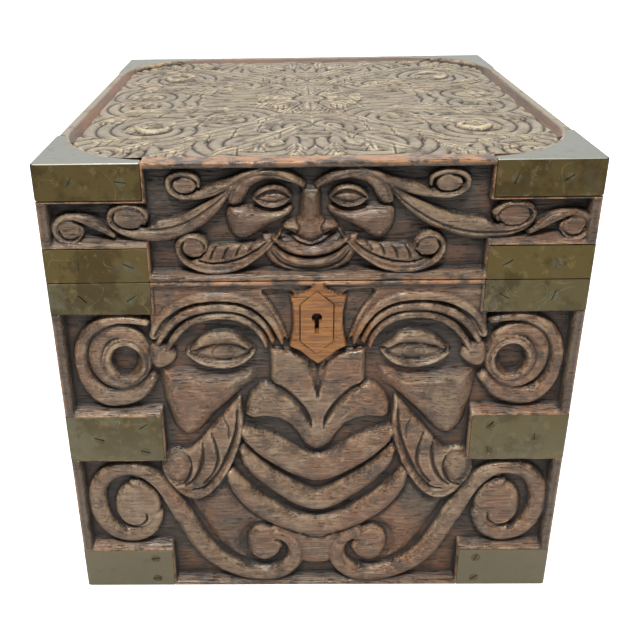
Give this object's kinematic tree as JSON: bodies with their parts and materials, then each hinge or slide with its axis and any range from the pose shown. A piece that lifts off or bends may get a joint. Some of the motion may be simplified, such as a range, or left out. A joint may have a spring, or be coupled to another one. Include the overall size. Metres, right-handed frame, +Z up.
{
  "type": "carved wooden box",
  "caption": "Square wooden box with a hinged lid, front and top carved in relief, let-in brass corner straps and a box lock.",
  "frame": {"origin": "centre of the underside", "axes": "-Y is the carved front with the keyhole, +Z is up, +X is the right seen from the front"},
  "size_m": [0.26, 0.27, 0.2505],
  "materials": {
    "carved_oak": "dark stained oak, waxed, worn on the high spots",
    "plain_oak": "dark stained oak, waxed",
    "floor_oak": "oiled oak",
    "inlay_oak": "bare oak, waxed",
    "binding_brass": "aged brass, scratched",
    "screw_brass": "aged brass",
    "hinge_brass": "aged brass",
    "lock_brass": "aged brass",
    "lock_steel": "plain steel"
  },
  "bodies": {
    "box": {"body_back": "plain_oak", "body_floor": "floor_oak", "body_foot_corner_back_left": "binding_brass", "body_foot_corner_back_right": "binding_brass", "body_foot_corner_front_left": "binding_brass", "body_foot_corner_front_right": "binding_brass", "body_foot_corner_screws": "screw_brass", "body_front": "carved_oak", "body_left": "plain_oak", "body_mid_strap_back_left": "binding_brass", "body_mid_strap_back_right": "binding_brass", "body_mid_strap_front_left": "binding_brass", "body_mid_strap_front_right": "binding_brass", "body_mid_strap_screws": "screw_brass", "body_right": "plain_oak", "body_rim_strap_back_left": "binding_brass", "body_rim_strap_back_right": "binding_brass", "body_rim_strap_front_left": "binding_brass", "body_rim_strap_front_right": "binding_brass", "body_rim_strap_screws": "screw_brass", "hinge_body_leaf_left": "hinge_brass", "hinge_body_leaf_right": "hinge_brass", "hinge_body_screws": "screw_brass", "hinge_pin_left": "lock_steel", "hinge_pin_right": "lock_steel", "keyhole_inlay": "inlay_oak", "lock_cap": "lock_brass", "lock_case": "lock_brass", "lock_drill_pin": "lock_steel", "lock_screws": "lock_steel", "lock_spring": "lock_steel"},
    "lid": {"hinge_lid_leaf_left": "hinge_brass", "hinge_lid_leaf_right": "hinge_brass", "hinge_lid_screws": "screw_brass", "lid_back": "plain_oak", "lid_front": "carved_oak", "lid_left": "plain_oak", "lid_right": "plain_oak", "lid_rim_strap_back_left": "binding_brass", "lid_rim_strap_back_right": "binding_brass", "lid_rim_strap_front_left": "binding_brass", "lid_rim_strap_front_right": "binding_brass", "lid_rim_strap_screws": "screw_brass", "lid_top_corner_back_left": "binding_brass", "lid_top_corner_back_right": "binding_brass", "lid_top_corner_front_left": "binding_brass", "lid_top_corner_front_right": "binding_brass", "lid_top_corner_screws": "screw_brass", "lid_top_panel": "carved_oak", "link_plate": "lock_brass", "link_plate_screws": "lock_steel"},
    "bolt": {"lock_bolt": "lock_steel"}
  },
  "joints": [
    {"name": "lid_hinge", "type": "hinge", "parent": "box", "child": "lid", "pos_m": [0, 0.13, 0.19125], "axis": [-1, 0, 0], "range_deg": [0, 97]},
    {"name": "lock_bolt_slide", "type": "slide", "parent": "box", "child": "bolt", "axis": [1, 0, 0], "range_m": [0, 0.006]}
  ]
}
